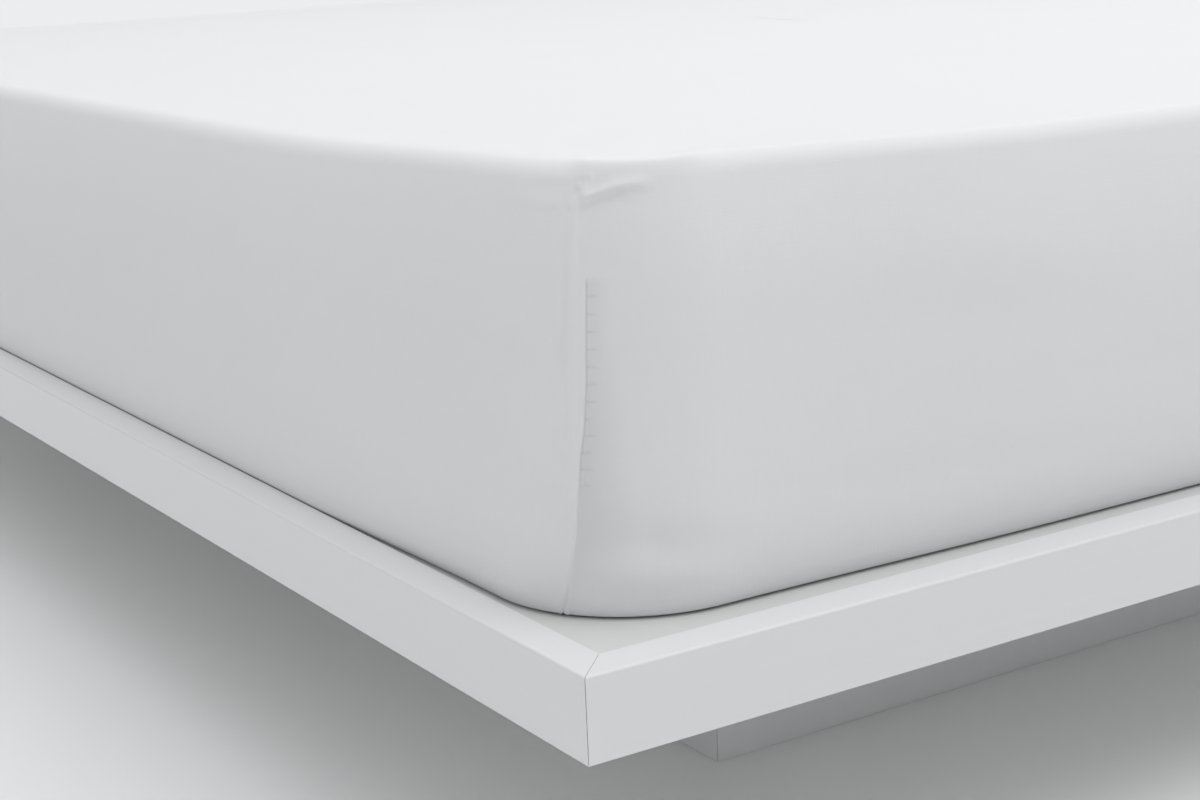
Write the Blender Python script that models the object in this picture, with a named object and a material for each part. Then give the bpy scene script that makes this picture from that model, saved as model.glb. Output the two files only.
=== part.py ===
"""A fitted sheet drawn over a mattress, in a low platform bed of lacquered boards.

The frame of the part: +Z up, +Y from the foot to the head of the bed, origin on the floor
under the middle of the bed.  The near corner of the tables is the foot end's left corner.
The sheet is one thin closed shell: top, walls, rounded corners and the hem that is tucked
under the mattress.  The mattress inside it follows the same surface, a little further in.
"""
import math
from typing import NamedTuple

import bmesh
import bpy

# Bed frame
RAIL_HEIGHT = 0.050
RAIL_THICKNESS = 0.025
RAIL_EDGE_RADIUS = 0.0018
RAIL_BOTTOM = 0.1715
DECK_DROP = 0.003
DECK_THICKNESS = 0.018
PLINTH_INSET = 0.285
PLINTH_THICKNESS = 0.025
JOINT_GAP = 0.0003

# Mattress in its sheet
BED_WIDTH = 1.600
BED_LENGTH = 2.000
COVER_HEIGHT = 0.254
SHEET_THICKNESS = 0.0015
MATTRESS_GAP = 0.001
HEM_TUCK = 0.100
BOTTOM_RADIUS = 0.012
SHOULDER_RADIUS = 0.011
BOTTOM_CORNER_RADIUS = 0.096
TOP_CORNER_RADIUS = 0.100
SMALLEST_CORNER_RADIUS = 0.025
TOP_BORDER = 0.060
SIDE_BULGE = 0.018
BULGE_RUN = 0.260
FOOT_SWELL = 0.30
TOP_LEAN = 0.020
LEAN_START = 0.62
CORNER_LIFT = 0.005
LIFT_RUN = 0.220

# Where the mattress lies between the rails
LEFT_GAP = 0.0045
RIGHT_GAP = 0.0175
FOOT_GAP = 0.022
HEAD_GAP = 0.028

# How finely the cloth is faceted
CORNER_STEPS = 8
BOTTOM_STEPS = 4
WALL_STEPS = 8
SHOULDER_STEPS = 4
RAIL_EDGE_STEPS = 6
SIDE_SHARES = (0.03, 0.08, 0.16, 0.30, 0.50, 0.70, 0.84, 0.92, 0.97)

# Derived sizes
INNER_WIDTH = BED_WIDTH + LEFT_GAP + RIGHT_GAP
INNER_LENGTH = BED_LENGTH + FOOT_GAP + HEAD_GAP
OUTER_WIDTH = INNER_WIDTH + 2 * RAIL_THICKNESS
OUTER_LENGTH = INNER_LENGTH + 2 * RAIL_THICKNESS
RAIL_TOP = RAIL_BOTTOM + RAIL_HEIGHT
DECK_TOP = RAIL_TOP - DECK_DROP
DECK_BOTTOM = DECK_TOP - DECK_THICKNESS
COVER_BASE = DECK_TOP + JOINT_GAP
COVER_TOP = COVER_BASE + COVER_HEIGHT
COVER_CENTRE_X = (LEFT_GAP - RIGHT_GAP) / 2
COVER_CENTRE_Y = (FOOT_GAP - HEAD_GAP) / 2

WHITE_COTTON = ("white_cotton", (0.86, 0.86, 0.87, 1.0), 0.85)
MATTRESS_TICKING = ("mattress_ticking", (0.78, 0.77, 0.74, 1.0), 0.90)
WHITE_LACQUER = ("white_lacquer", (0.74, 0.74, 0.75, 1.0), 0.35)
SIDE_NAMES = ("foot", "right", "head", "left")


class Fold(NamedTuple):
    """A soft ridge in the sheet's wall, or a trough where the depth is below zero."""

    corner: int         # 0 is the near corner, and the rest follow anticlockwise
    along: float        # distance round the wall from the corner's middle
    height: float       # share of the wall's height
    half_width: float
    half_height: float
    depth: float


# The near corner's own folds; SEAM_FOLDS repeat at every corner, beside its sewn seam
NEAR_FOLDS = (
    Fold(0, 0.285, 0.56, 0.100, 0.09, -0.0014),
    Fold(0, 0.285, 0.73, 0.100, 0.09, 0.0012),
    Fold(0, 0.416, 0.37, 0.080, 0.08, -0.0012),
    Fold(0, 0.250, 0.20, 0.110, 0.08, -0.0013),
    Fold(0, 0.045, 0.19, 0.040, 0.08, -0.0020),
    Fold(0, 0.030, 0.94, 0.030, 0.05, 0.0026),
    Fold(0, -0.168, 0.40, 0.090, 0.15, -0.0016),
    Fold(0, -0.360, 0.22, 0.130, 0.12, 0.0016),
    Fold(0, -0.520, 0.58, 0.120, 0.17, -0.0014),
)
SEAM_FOLDS = (
    Fold(0, 0.014, 0.36, 0.014, 0.30, -0.0026),
    Fold(0, -0.008, 0.55, 0.012, 0.36, 0.0014),
)
FOLDS = NEAR_FOLDS + tuple(
    fold._replace(corner=corner) for corner in range(4) for fold in SEAM_FOLDS
)


class Station(NamedTuple):
    """One level of the sheet's upright section."""

    outset: float       # from the wall's plane, outwards
    z: float
    slope: float        # of the outward normal: -90 degrees below, 0 on the wall, 90 on top
    height: float       # share of the cover's height


class RimPoint(NamedTuple):
    """One point of a level outline, with its outward direction."""

    x: float
    y: float
    normal_x: float
    normal_y: float
    corner: int
    along: float


def smooth(value):
    """Ease from 0 to 1."""
    clamped = min(max(value, 0.0), 1.0)
    return clamped * clamped * (3.0 - 2.0 * clamped)


def section():
    """Stations from the hem's inner edge, round the bottom, up the wall and over the top."""
    stations = [Station(-HEM_TUCK, COVER_BASE, -math.pi / 2, 0.0)]
    for step in range(BOTTOM_STEPS + 1):
        slope = -math.pi / 2 * (1 - step / BOTTOM_STEPS)
        rise = BOTTOM_RADIUS * (1 + math.sin(slope))
        inset = BOTTOM_RADIUS * (1 - math.cos(slope))
        stations.append(Station(-inset, COVER_BASE + rise, slope, rise / COVER_HEIGHT))
    wall_height = COVER_HEIGHT - BOTTOM_RADIUS - SHOULDER_RADIUS
    for step in range(1, WALL_STEPS):
        rise = BOTTOM_RADIUS + wall_height * step / WALL_STEPS
        stations.append(Station(0.0, COVER_BASE + rise, 0.0, rise / COVER_HEIGHT))
    for step in range(SHOULDER_STEPS + 1):
        slope = math.pi / 2 * step / SHOULDER_STEPS
        drop = SHOULDER_RADIUS * (1 - math.sin(slope))
        inset = SHOULDER_RADIUS * (1 - math.cos(slope))
        stations.append(Station(-inset, COVER_TOP - drop, slope, 1 - drop / COVER_HEIGHT))
    stations.append(Station(-SHOULDER_RADIUS - TOP_BORDER, COVER_TOP, math.pi / 2, 1.0))
    return stations


def outline(station):
    """The rounded rectangle at a station, anticlockwise from the near corner."""
    half_width = BED_WIDTH / 2 + station.outset
    half_length = BED_LENGTH / 2 + station.outset
    full_radius = BOTTOM_CORNER_RADIUS
    full_radius += (TOP_CORNER_RADIUS - BOTTOM_CORNER_RADIUS) * smooth(station.height)
    radius = max(full_radius + station.outset, SMALLEST_CORNER_RADIUS)
    half_arc = full_radius * math.pi / 4
    points = []
    for corner in range(4):
        toward_x = (-1, 1, 1, -1)[corner]
        toward_y = (-1, -1, 1, 1)[corner]
        centre_x = COVER_CENTRE_X + toward_x * (half_width - radius)
        centre_y = COVER_CENTRE_Y + toward_y * (half_length - radius)
        start = math.pi + corner * math.pi / 2
        for step in range(CORNER_STEPS + 1):
            turn = math.pi / 2 * step / CORNER_STEPS
            normal = (math.cos(start + turn), math.sin(start + turn))
            along = full_radius * (turn - math.pi / 4)
            points.append(RimPoint(centre_x + radius * normal[0], centre_y + radius * normal[1],
                                   *normal, corner, along))
        run = 2 * ((half_width if corner % 2 == 0 else half_length) - radius)
        last = points[-1]
        for share in SIDE_SHARES:
            x = last.x - last.normal_y * run * share
            y = last.y + last.normal_x * run * share
            if share <= 0.5:
                nearest, along = corner, half_arc + run * share
            else:
                nearest, along = (corner + 1) % 4, -half_arc - run * (1 - share)
            points.append(RimPoint(x, y, last.normal_x, last.normal_y, nearest, along))
    return points


def bulge(point, station):
    """How far the soft wall swells out between its corners."""
    run = (abs(point.along) - TOP_CORNER_RADIUS * math.pi / 4) / BULGE_RUN
    rise = FOOT_SWELL + (1 - FOOT_SWELL) * smooth(station.height / 0.6)
    return SIDE_BULGE * smooth(run) * rise


def lean(station):
    """How far the wall's upper part curves back in, below the shoulder."""
    climb = max(station.height - LEAN_START, 0.0) / (1 - LEAN_START)
    return TOP_LEAN * climb * climb


def fold_depth(point, station):
    """The sum of the folds at a point of the wall."""
    total = 0.0
    for fold in FOLDS:
        if fold.corner == point.corner:
            across = (point.along - fold.along) / fold.half_width
            up = (station.height - fold.height) / fold.half_height
            total += fold.depth * math.exp(-across * across - up * up)
    return total * math.cos(station.slope)


def corner_lift(point, station):
    """The sheet's pocket holds the mattress's corners a little higher than its sides."""
    if station.outset < -SHOULDER_RADIUS:
        return 0.0
    return CORNER_LIFT * smooth((station.height - 0.3) / 0.7) * (
        math.exp(-(point.along / LIFT_RUN) ** 2))


def surface_rings(stations, depth):
    """The sheet's outer surface as rings of points, or one that lies depth further in."""
    rings = []
    for station in stations:
        level = math.cos(station.slope)
        ring = []
        for point in outline(station):
            out = bulge(point, station) - lean(station) + fold_depth(point, station)
            out -= depth * level
            z = station.z + corner_lift(point, station) - depth * math.sin(station.slope)
            ring.append((point.x + point.normal_x * out, point.y + point.normal_y * out, z))
        rings.append(ring)
    return rings


def add_rings(mesh, rings):
    """Add rings of vertices to a bmesh."""
    return [[mesh.verts.new(point) for point in ring] for ring in rings]


def bridge(mesh, lower, upper):
    """Join two rings of vertices with four-sided faces."""
    count = len(lower)
    for index in range(count):
        after = (index + 1) % count
        mesh.faces.new((lower[index], lower[after], upper[after], upper[index]))


def material(finish):
    """A plain Principled material."""
    name, colour, roughness = finish
    made = bpy.data.materials.new(name)
    made.use_nodes = True
    shader = made.node_tree.nodes["Principled BSDF"]
    shader.inputs["Base Color"].default_value = colour
    shader.inputs["Roughness"].default_value = roughness
    shader.inputs["Metallic"].default_value = 0.0
    return made


def finish_object(mesh, name, dressing, smooth_angle=None):
    """Turn a bmesh into a named object with its faces pointing out."""
    bmesh.ops.recalc_face_normals(mesh, faces=mesh.faces)
    data = bpy.data.meshes.new(name)
    mesh.to_mesh(data)
    mesh.free()
    data.materials.append(dressing)
    if smooth_angle is not None:
        data.shade_smooth()
        data.set_sharp_from_angle(angle=smooth_angle)
    made = bpy.data.objects.new(name, data)
    bpy.context.scene.collection.objects.link(made)
    return made


def build_sheet(cotton):
    """The fitted sheet: an outer and an inner surface, joined round the hem's edge."""
    stations = section()
    mesh = bmesh.new()
    outer = add_rings(mesh, surface_rings(stations, 0.0))
    inner = add_rings(mesh, surface_rings(stations, SHEET_THICKNESS))
    for skin in (outer, inner):
        for lower, upper in zip(skin, skin[1:]):
            bridge(mesh, lower, upper)
        mesh.faces.new(skin[-1])
    bridge(mesh, outer[0], inner[0])
    return finish_object(mesh, "fitted_sheet", cotton, math.radians(40))


def build_mattress(ticking):
    """The mattress: a closed body under the sheet's inner surface."""
    mesh = bmesh.new()
    rings = add_rings(mesh, surface_rings(section()[1:], SHEET_THICKNESS + MATTRESS_GAP))
    for lower, upper in zip(rings, rings[1:]):
        bridge(mesh, lower, upper)
    mesh.faces.new(rings[0])
    mesh.faces.new(rings[-1])
    return finish_object(mesh, "mattress", ticking, math.radians(40))


def board_section(thickness, bottom, top, edge_radius):
    """A board's section, from its outer face inwards, with a rounded outer top edge."""
    points = [(0.0, bottom)]
    steps = RAIL_EDGE_STEPS if edge_radius > 0 else 0
    for step in range(steps + 1):
        turn = math.pi / 2 * step / max(steps, 1)
        inward = edge_radius * (1 - math.cos(turn))
        points.append((inward, top - edge_radius * (1 - math.sin(turn))))
    points += [(thickness, top), (thickness, bottom)]
    return points


def build_board_ring(prefix, width, length, board, lacquer):
    """Four boards round a rectangle, mitred at its corners."""
    corners = [(-width / 2, -length / 2), (width / 2, -length / 2),
               (width / 2, length / 2), (-width / 2, length / 2)]
    clearance = JOINT_GAP / math.sqrt(2)
    for index, side in enumerate(SIDE_NAMES):
        start, end = corners[index], corners[(index + 1) % 4]
        run = math.hypot(end[0] - start[0], end[1] - start[1])
        step_x, step_y = (end[0] - start[0]) / run, (end[1] - start[1]) / run
        mesh = bmesh.new()
        ends = []
        for share in (0, 1):
            face = []
            for inward, z in board:
                mitre = inward + clearance
                travel = mitre if share == 0 else run - mitre
                face.append(mesh.verts.new((start[0] + step_x * travel - step_y * inward,
                                            start[1] + step_y * travel + step_x * inward, z)))
            ends.append(face)
        bridge(mesh, *ends)
        for face in ends:
            mesh.faces.new(face)
        finish_object(mesh, f"{prefix}_{side}", lacquer, math.radians(35))


def build_deck(lacquer):
    """The boarded floor of the frame that the mattress lies on."""
    mesh = bmesh.new()
    bmesh.ops.create_cube(mesh, size=1.0)
    bmesh.ops.scale(mesh, verts=mesh.verts, vec=(INNER_WIDTH - 2 * JOINT_GAP,
                                                 INNER_LENGTH - 2 * JOINT_GAP, DECK_THICKNESS))
    bmesh.ops.translate(mesh, verts=mesh.verts, vec=(0, 0, (DECK_TOP + DECK_BOTTOM) / 2))
    return finish_object(mesh, "deck", lacquer)


def main():
    """Build every sub-part."""
    for leftover in list(bpy.data.objects):
        bpy.data.objects.remove(leftover, do_unlink=True)
    cotton = material(WHITE_COTTON)
    lacquer = material(WHITE_LACQUER)
    build_board_ring("rail", OUTER_WIDTH, OUTER_LENGTH,
                     board_section(RAIL_THICKNESS, RAIL_BOTTOM, RAIL_TOP, RAIL_EDGE_RADIUS), lacquer)
    build_board_ring("plinth", OUTER_WIDTH - 2 * PLINTH_INSET, OUTER_LENGTH - 2 * PLINTH_INSET,
                     board_section(PLINTH_THICKNESS, 0.0, DECK_BOTTOM - JOINT_GAP, 0.0), lacquer)
    build_deck(lacquer)
    build_mattress(material(MATTRESS_TICKING))
    build_sheet(cotton)


if __name__ == "__main__":
    main()
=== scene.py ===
"""A fitted sheet on its mattress, in a low platform bed of lacquered boards.

The sheet is one cut of plain white cotton.  Four corner seams turn it into a box, and its
hem is tucked under the mattress.  It is built over a rounded mattress as one thin shell,
from an upright section and a level outline.  Folds, creases and the seams' own relief are
placed from short tables.  The boards of the bed keep their own solids and get a
brushed satin lacquer.

Frame: metres, +Z up, +Y from the foot to the head, origin on the floor under the middle.
Distances on the cloth: "along" runs round the wall from a corner's middle, anticlockwise
seen from above, and "run" climbs the section from the start of the bottom's rounding.
"""
from __future__ import annotations

import logging
import math
from dataclasses import dataclass, field
from enum import Enum
from functools import partial, reduce

import bpy
import numpy as np
from mathutils import Matrix, Vector


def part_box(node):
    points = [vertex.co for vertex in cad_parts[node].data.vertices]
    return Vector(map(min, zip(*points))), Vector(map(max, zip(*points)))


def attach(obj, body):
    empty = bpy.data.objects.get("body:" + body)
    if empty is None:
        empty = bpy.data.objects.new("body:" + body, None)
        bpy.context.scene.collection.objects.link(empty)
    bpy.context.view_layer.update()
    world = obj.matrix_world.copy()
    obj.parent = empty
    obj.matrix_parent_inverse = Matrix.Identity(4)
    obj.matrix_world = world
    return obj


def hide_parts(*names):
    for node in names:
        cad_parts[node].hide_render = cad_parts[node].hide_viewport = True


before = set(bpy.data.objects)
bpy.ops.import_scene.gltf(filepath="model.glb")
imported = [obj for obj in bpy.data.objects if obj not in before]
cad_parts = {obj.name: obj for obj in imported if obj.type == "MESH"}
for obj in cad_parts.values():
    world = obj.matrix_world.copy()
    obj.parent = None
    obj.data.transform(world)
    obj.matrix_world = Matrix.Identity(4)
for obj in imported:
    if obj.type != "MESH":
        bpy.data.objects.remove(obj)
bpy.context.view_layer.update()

LOG = logging.getLogger("fitted_sheet")
BODY = "root"
QUARTER_TURN = math.pi / 2
CLOTH_MAP = "ClothUV"
SEAM_MAP = "SeamUV"


def smooth(values: np.ndarray) -> np.ndarray:
    """Ease from 0 to 1.

    Args:
        values: where each point is on the way, from 0 to 1.

    Returns:
        The eased values.
    """
    held = np.clip(values, 0.0, 1.0)
    return held * held * (3.0 - 2.0 * held)


def bell(values: np.ndarray) -> np.ndarray:
    """A soft bump.

    Args:
        values: distances from its middle, in its half widths.

    Returns:
        The bump's share, 1 in the middle and nothing past about 2.
    """
    return np.exp(-values * values)


def graded(start: float, growth: float, widest: float, reach: float) -> np.ndarray:
    """Distances from 0 that step by start, growing to the widest step.

    Args:
        start: the first step.
        growth: how much each step is longer than the last.
        widest: the longest step.
        reach: where the distances end.

    Returns:
        Shares of the reach, over 0 and ending at 1.
    """
    places, step = [start], start
    while places[-1] < reach:
        step = min(step * growth, widest)
        places.append(places[-1] + step)
    return np.array(places) / places[-1]


class Wall(Enum):
    """The wall that a corner's cloth runs into, before or after its middle."""

    BEFORE = -1
    AFTER = 1


@dataclass(frozen=True)
class Fold:
    """A broad soft ridge in the wall, or a trough where the depth is below zero."""

    along: float
    run: float
    half_width: float
    half_height: float
    depth: float
    tilt: float = 0.0


@dataclass(frozen=True)
class Crease:
    """A narrow crest or groove that follows a few points on the cloth.

    One side may be steeper than the other, as where a tuck hangs over itself.
    """

    points: tuple[tuple[float, float], ...]
    height: float
    left_width: float
    right_width: float
    ends: float = 0.010


@dataclass(frozen=True)
class Swell:
    """A long soft ridge or hollow of the top, at a share of its half width and length."""

    across: float
    lengthwise: float
    half_length: float
    half_width: float
    turn: float
    height: float


@dataclass(frozen=True)
class SeamPath:
    """Where a corner's sewn seam lies, as along against run, from the foot up."""

    runs: tuple[float, ...]
    alongs: tuple[float, ...]

    def along(self, run: np.ndarray) -> np.ndarray:
        """The seam's place round the wall at a height."""
        return np.interp(run, self.runs, self.alongs)


@dataclass
class CoverShape:
    """The sheet's outer surface: its sizes, and the points and normals they give."""

    bottom_radius: float = 0.012
    bottom_power: float = 0.60
    shoulder_radius: float = 0.011
    bottom_corner_radius: float = 0.096
    top_corner_radius: float = 0.100
    smallest_corner_radius: float = 0.025
    hem_tuck: float = 0.100
    top_border: float = 0.060
    side_bulge: float = 0.018
    bulge_run: float = 0.260
    foot_swell: float = 0.30
    top_lean: float = 0.020
    lean_start: float = 0.62
    full_swell: float = 0.60
    corner_lift: float = 0.005
    lift_start: float = 0.30
    lift_run: float = 0.220
    low: Vector = field(default_factory=lambda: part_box("fitted_sheet")[0])
    high: Vector = field(default_factory=lambda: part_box("fitted_sheet")[1])

    def __post_init__(self) -> None:
        """Work out the plain box that the section and outline are built on."""
        self.base = self.low.z
        self.top = self.high.z - self.corner_lift
        self.height = self.top - self.base
        self.half_width = (self.high.x - self.low.x) / 2 - self.side_bulge
        self.half_length = (self.high.y - self.low.y) / 2 - self.side_bulge
        self.centre = ((self.high.x + self.low.x) / 2, (self.high.y + self.low.y) / 2)
        self.arc_run = self.bottom_radius * QUARTER_TURN
        self.wall_run = self.height - self.bottom_radius - self.shoulder_radius
        self.edge_run = self.arc_run + self.wall_run
        self.rim_run = self.edge_run + self.shoulder_radius * QUARTER_TURN

    def section(self, runs: np.ndarray) -> tuple[np.ndarray, np.ndarray, np.ndarray]:
        """Points of the upright section.

        Args:
            runs: distances up the section; below 0 is the hem under the mattress.

        Returns:
            The outset from the wall's plane, the height, and the normal's slope.
        """
        bottom = np.clip(runs / self.bottom_radius, 0.0, QUARTER_TURN) - QUARTER_TURN
        upper = np.clip((runs - self.edge_run) / self.shoulder_radius, 0.0, QUARTER_TURN)
        turned_out = np.clip(np.cos(bottom), 0.0, 1.0) ** self.bottom_power
        turned_up = np.clip(-np.sin(bottom), 0.0, 1.0) ** self.bottom_power
        outset = -self.bottom_radius * (1 - turned_out) + np.minimum(runs, 0.0)
        outset -= self.shoulder_radius * (1 - np.cos(upper))
        outset -= np.maximum(runs - self.rim_run, 0.0)
        z = self.base + self.bottom_radius * (1 - turned_up)
        z = z + np.clip(runs - self.arc_run, 0.0, self.wall_run)
        z = z + self.shoulder_radius * np.sin(upper)
        return outset, z, bottom + upper

    def corner_radius(self, z: np.ndarray) -> np.ndarray:
        """The outline's corner radius at a height.

        Args:
            z: heights above the floor.

        Returns:
            The radius at each height.
        """
        share = smooth((z - self.base) / self.height)
        return self.bottom_corner_radius + share * (
            self.top_corner_radius - self.bottom_corner_radius)

    def half_side(self, corner: int, side: int) -> float:
        """Half the length of the wall that a corner's cloth runs into.

        Args:
            corner: 0 for the near corner, and the rest anticlockwise.
            side: 1 for the wall after the corner's middle, -1 for the wall before it.

        Returns:
            Half the wall's length.
        """
        runs_in_x = (corner + (side > 0)) % 2 == 1
        return self.half_width if runs_in_x else self.half_length

    def points(self, corner: int, along: np.ndarray, runs: np.ndarray
               ) -> tuple[np.ndarray, np.ndarray]:
        """Smooth places and outward normals, before folds.

        Args:
            corner: 0 for the near corner, and the rest anticlockwise.
            along: distance round the wall from the corner's middle.
            runs: distance up the section, of the same shape.

        Returns:
            Places and normals, each with a last axis of x, y, z.
        """
        outset, z, slope = self.section(runs)
        radius = self.corner_radius(z)
        inner = np.maximum(radius + outset, self.smallest_corner_radius)
        half_arc = radius * math.pi / 4
        turn = np.clip(along / radius, -math.pi / 4, math.pi / 4)
        half = np.where(along > 0, self.half_side(corner, 1), self.half_side(corner, -1))
        straight = np.sign(along) * np.maximum(np.abs(along) - half_arc, 0.0)
        straight = straight * (half + outset - inner) / (half - radius)
        angle = math.pi * (1.25 + corner * 0.5) + turn
        toward_x = (-1, 1, 1, -1)[corner]
        toward_y = (-1, -1, 1, 1)[corner]
        normal_x, normal_y = np.cos(angle), np.sin(angle)
        x = toward_x * (self.half_width + outset - inner)
        y = toward_y * (self.half_length + outset - inner)
        x = x + inner * normal_x - straight * normal_y
        y = y + inner * normal_y + straight * normal_x
        swell = smooth((np.abs(along) - self.top_corner_radius * math.pi / 4) / self.bulge_run)
        share = (z - self.base) / self.height
        swell *= self.foot_swell + (1 - self.foot_swell) * smooth(share / self.full_swell)
        climb = np.clip((share - self.lean_start) / (1 - self.lean_start), 0.0, 1.0)
        out = self.side_bulge * swell - self.top_lean * climb * climb
        x = x + self.centre[0] + out * normal_x
        y = y + self.centre[1] + out * normal_y
        risen = (share - self.lift_start) / (1 - self.lift_start)
        lift = self.corner_lift * smooth(risen) * bell(along / self.lift_run)
        lift *= 1 - smooth((runs - self.rim_run) / self.top_border)
        places = np.stack((x, y, z + lift), axis=-1)
        level = np.cos(slope)
        normals = np.stack((normal_x * level, normal_y * level, np.sin(slope)), axis=-1)
        return places, normals


def fold_relief(folds: tuple[Fold, ...], along: np.ndarray, runs: np.ndarray) -> np.ndarray:
    """The sum of broad folds at each point of the cloth.

    Args:
        folds: the folds.
        along: the points' distances round the wall.
        runs: their distances up the section.

    Returns:
        How far out the cloth lies at each point.
    """
    relief = np.zeros_like(along)
    for fold in folds:
        across = along - fold.along
        up = runs - fold.run - fold.tilt * across
        relief += fold.depth * bell(across / fold.half_width) * bell(up / fold.half_height)
    return relief


def crease_relief(crease: Crease, along: np.ndarray, runs: np.ndarray) -> np.ndarray:
    """The height of one crease at each point of the cloth.

    Args:
        crease: the crease.
        along: the points' distances round the wall.
        runs: their distances up the section.

    Returns:
        How far out the cloth lies at each point.
    """
    nearest = np.full(along.shape, 1e9)
    relief = np.zeros_like(along)
    for (a0, r0), (a1, r1) in zip(crease.points, crease.points[1:]):
        length = math.hypot(a1 - a0, r1 - r0)
        unit_a, unit_r = (a1 - a0) / length, (r1 - r0) / length
        ahead = np.clip((along - a0) * unit_a + (runs - r0) * unit_r, 0.0, length)
        gap_a, gap_r = along - a0 - ahead * unit_a, runs - r0 - ahead * unit_r
        distance = np.hypot(gap_a, gap_r)
        side = unit_a * gap_r - unit_r * gap_a
        width = np.where(side > 0, crease.left_width, crease.right_width)
        height = crease.height * bell(distance / width)
        closer = distance < nearest
        relief = np.where(closer, height, relief)
        nearest = np.where(closer, distance, nearest)
    first, last = np.array(crease.points[0]), np.array(crease.points[-1])
    fade = smooth(np.hypot(along - first[0], runs - first[1]) / crease.ends)
    fade *= smooth(np.hypot(along - last[0], runs - last[1]) / crease.ends)
    return relief * fade


@dataclass(frozen=True)
class CornerStyle:
    """How the cloth lies about one corner: its seam's path, folds and creases."""

    seam: SeamPath
    folds: tuple[Fold, ...]
    creases: tuple[Crease, ...] = ()


NEAR_CORNER = CornerStyle(
    seam=SeamPath(
        runs=(0.005, 0.018, 0.033, 0.051, 0.067, 0.081, 0.100, 0.118, 0.145, 0.194, 0.258),
        alongs=(-0.0250, -0.0200, -0.0162, -0.0130, -0.0110, -0.0093, -0.0075, -0.0045, -0.0020,
                -0.0003, 0.0000)),
    folds=(
        Fold(0.273, 0.150, 0.100, 0.020, -0.0013, -0.12),
        Fold(0.274, 0.192, 0.100, 0.020, 0.0010, -0.12),
        Fold(0.399, 0.105, 0.080, 0.016, -0.0011),
        Fold(0.235, 0.062, 0.110, 0.014, -0.0011, -0.04),
        Fold(0.030, 0.052, 0.042, 0.013, -0.0034, -0.20),
        Fold(0.034, 0.020, 0.040, 0.008, -0.0012),
        Fold(-0.170, 0.108, 0.090, 0.034, -0.0012),
        Fold(-0.359, 0.065, 0.130, 0.026, 0.0012),
        Fold(-0.522, 0.153, 0.120, 0.040, -0.0012, 0.10),
        Fold(0.102, 0.205, 0.050, 0.020, 0.0008),
    ),
    creases=(
        Crease(((-0.024, 0.2634), (-0.003, 0.2605), (0.014, 0.2596), (0.030, 0.2592),
                (0.062, 0.2596), (0.092, 0.2625)), 0.0018, 0.0028, 0.0050, 0.022),
        Crease(((-0.018, 0.2720), (0.027, 0.2700), (0.080, 0.2740)), -0.0026, 0.010, 0.006,
               0.022),
        Crease(((-0.006, 0.2396), (0.004, 0.2424), (0.018, 0.2462), (0.031, 0.2474),
                (0.037, 0.2468)), 0.0020, 0.0032, 0.0020, 0.005),
        Crease(((-0.008, 0.2350), (0.006, 0.2384), (0.020, 0.2420), (0.028, 0.2428)),
               -0.0011, 0.0030, 0.0070, 0.009),
        Crease(((-0.0005, 0.2500), (-0.0035, 0.2400)), 0.0014, 0.0030, 0.0024, 0.004),
        Crease(((-0.0060, 0.2470), (-0.0105, 0.2375)), -0.0015, 0.0046, 0.0036, 0.004),
        Crease(((-0.062, 0.2412), (-0.032, 0.2380), (-0.007, 0.2374)),
               0.0006, 0.0055, 0.0032, 0.014),
        Crease(((-0.0085, 0.246), (-0.0085, 0.194), (-0.0110, 0.1235), (-0.0180, 0.0627)),
               0.0015, 0.0026, 0.0026, 0.012),
        Crease(((-0.0140, 0.2258), (-0.0140, 0.1843), (-0.0160, 0.1332)),
               -0.0008, 0.0022, 0.0022, 0.014),
        Crease(((-0.0190, 0.2287), (-0.0190, 0.1534), (-0.0255, 0.0724)),
               0.0013, 0.0036, 0.0032, 0.020),
        Crease(((-0.0255, 0.006), (-0.0180, 0.028)), 0.0010, 0.0009, 0.0009, 0.003),
        Crease(((-0.0215, 0.006), (-0.0150, 0.024)), 0.0008, 0.0009, 0.0009, 0.003),
    ),
)
PLAIN_CORNER = CornerStyle(
    seam=SeamPath(runs=(0.005, 0.060, 0.160, 0.260), alongs=(-0.012, -0.006, -0.002, 0.000)),
    folds=(
        Fold(0.150, 0.140, 0.070, 0.030, -0.0012),
        Fold(-0.190, 0.120, 0.080, 0.035, -0.0012),
        Fold(0.330, 0.165, 0.120, 0.035, 0.0012),
        Fold(0.045, 0.050, 0.040, 0.013, -0.0014),
    ),
    creases=(
        Crease(((-0.030, 0.2615), (0.002, 0.2590), (0.040, 0.2605)), 0.0010, 0.0030, 0.0042,
               0.020),
        Crease(((-0.006, 0.235), (-0.007, 0.120), (-0.015, 0.060)), 0.0010, 0.0026, 0.0028,
               0.012),
    ),
)

TOP_SWELLS = (
    Swell(-0.86, -0.89, 0.110, 0.022, math.radians(52), 0.0009),
    Swell(-0.80, -0.90, 0.150, 0.030, math.radians(33), -0.0009),
    Swell(0.88, -0.90, 0.120, 0.024, math.radians(128), 0.0011),
    Swell(0.80, -0.91, 0.150, 0.030, math.radians(149), -0.0009),
    Swell(0.87, 0.90, 0.130, 0.024, math.radians(50), 0.0011),
    Swell(-0.87, 0.90, 0.120, 0.026, math.radians(131), 0.0010),
    Swell(-0.30, -0.45, 0.480, 0.120, math.radians(8), -0.0016),
    Swell(0.35, -0.10, 0.420, 0.150, math.radians(-14), 0.0018),
    Swell(-0.25, 0.35, 0.500, 0.140, math.radians(18), -0.0016),
    Swell(0.30, 0.65, 0.380, 0.110, math.radians(-6), 0.0014),
)


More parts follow.
